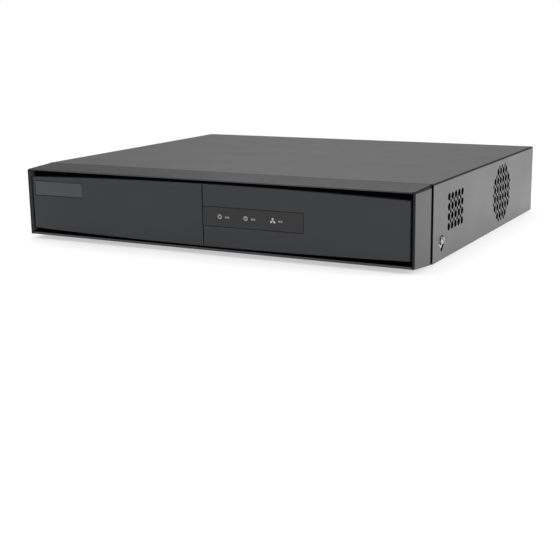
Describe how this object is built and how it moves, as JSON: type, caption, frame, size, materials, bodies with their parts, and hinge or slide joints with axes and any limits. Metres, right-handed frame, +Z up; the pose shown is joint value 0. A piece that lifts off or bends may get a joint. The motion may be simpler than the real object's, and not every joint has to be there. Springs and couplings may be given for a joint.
{
  "type": "video recorder",
  "caption": "Low sheet-metal security video recorder with a moulded two-panel front, vented sides and a rear wall of coax, video, audio, network and power sockets.",
  "frame": {"origin": "middle of the recorder's width and whole depth, on the surface that the feet stand on", "axes": "+X to the viewer's right across the front, +Y from the front towards the rear sockets, +Z up"},
  "size_m": [0.2624, 0.2338, 0.045],
  "materials": {
    "painted_steel": "fine matt black powder coat",
    "case_plastic": "fine spark-eroded texture",
    "panel_plastic": "satin, nearly smooth",
    "badge_plastic": "satin inlay",
    "window_plastic": "smooth dark inlay",
    "zinc_steel": "galvanised sheet",
    "nickel_plate": "nickel plate",
    "shield_steel": "tinned sheet",
    "black_plastic": "moulded",
    "fan_plastic": "moulded",
    "red_plastic": "moulded",
    "white_plastic": "moulded",
    "foot_rubber": "matt",
    "board_laminate": "green solder mask",
    "chip_resin": "moulded",
    "fin_aluminium": "natural",
    "drive_aluminium": "cast",
    "lid_steel": "brushed sheet",
    "disc_mirror": "polished",
    "black_screw": "black oxide",
    "lead_jacket": "smooth"
  },
  "bodies": {
    "case": {"top_cover": "painted_steel", "front_bezel": "case_plastic", "front_panel_left": "panel_plastic", "front_panel_right": "panel_plastic", "badge_plate": "badge_plastic", "indicator_window": "window_plastic", "indicator_board": "board_laminate", "chassis_tray": "zinc_steel", "foot_front_left": "foot_rubber", "foot_front_right": "foot_rubber", "foot_rear_left": "foot_rubber", "foot_rear_right": "foot_rubber", "mainboard": "board_laminate", "processor": "chip_resin", "heatsink": "fin_aluminium", "clock_battery": "nickel_plate", "bnc_block_left": "black_plastic", "bnc_block_right": "black_plastic", "bnc_jack_01": "nickel_plate", "bnc_jack_02": "nickel_plate", "bnc_jack_03": "nickel_plate", "bnc_jack_04": "nickel_plate", "bnc_jack_05": "nickel_plate", "bnc_jack_06": "nickel_plate", "bnc_jack_07": "nickel_plate", "bnc_jack_08": "nickel_plate", "bnc_jack_09": "nickel_plate", "bnc_jack_10": "nickel_plate", "bnc_jack_11": "nickel_plate", "bnc_jack_12": "nickel_plate", "bnc_jack_13": "nickel_plate", "bnc_jack_14": "nickel_plate", "bnc_jack_15": "nickel_plate", "bnc_jack_16": "nickel_plate", "hdmi_jack": "shield_steel", "vga_jack": "shield_steel", "vga_jackscrew_left": "nickel_plate", "vga_jackscrew_right": "nickel_plate", "audio_block": "black_plastic", "audio_in_jack": "red_plastic", "audio_out_jack": "white_plastic", "lan_usb_stack": "shield_steel", "power_jack": "black_plastic", "ground_screw": "black_screw", "cover_screw_rear_left": "black_screw", "cover_screw_rear_right": "black_screw", "cover_screw_side_left": "nickel_plate", "cover_screw_side_right": "nickel_plate", "connector_screw_1": "nickel_plate", "connector_screw_2": "nickel_plate", "connector_screw_3": "nickel_plate", "fan_frame": "fan_plastic", "fan_bracket": "zinc_steel", "hdd_base": "drive_aluminium", "hdd_lid": "lid_steel", "hdd_board": "board_laminate", "drive_cable": "lead_jacket"},
    "fan": {"fan_rotor": "fan_plastic"},
    "platters": {"hdd_platters": "disc_mirror"},
    "arm": {"hdd_arm": "drive_aluminium"}
  },
  "joints": [
    {"name": "fan_spin", "type": "hinge", "parent": "case", "child": "fan", "pos_m": [0.1212, 0.03211, 0.0231], "axis": [1, 0, 0], "continuous": true},
    {"name": "platter_spin", "type": "hinge", "parent": "case", "child": "platters", "pos_m": [-0.0729, -0.039, 0.0188], "axis": [0, 0, 1], "continuous": true},
    {"name": "arm_swing", "type": "hinge", "parent": "case", "child": "arm", "pos_m": [-0.0199, -0.063, 0.0194], "axis": [0, 0, 1], "range_deg": [0, 35]}
  ]
}
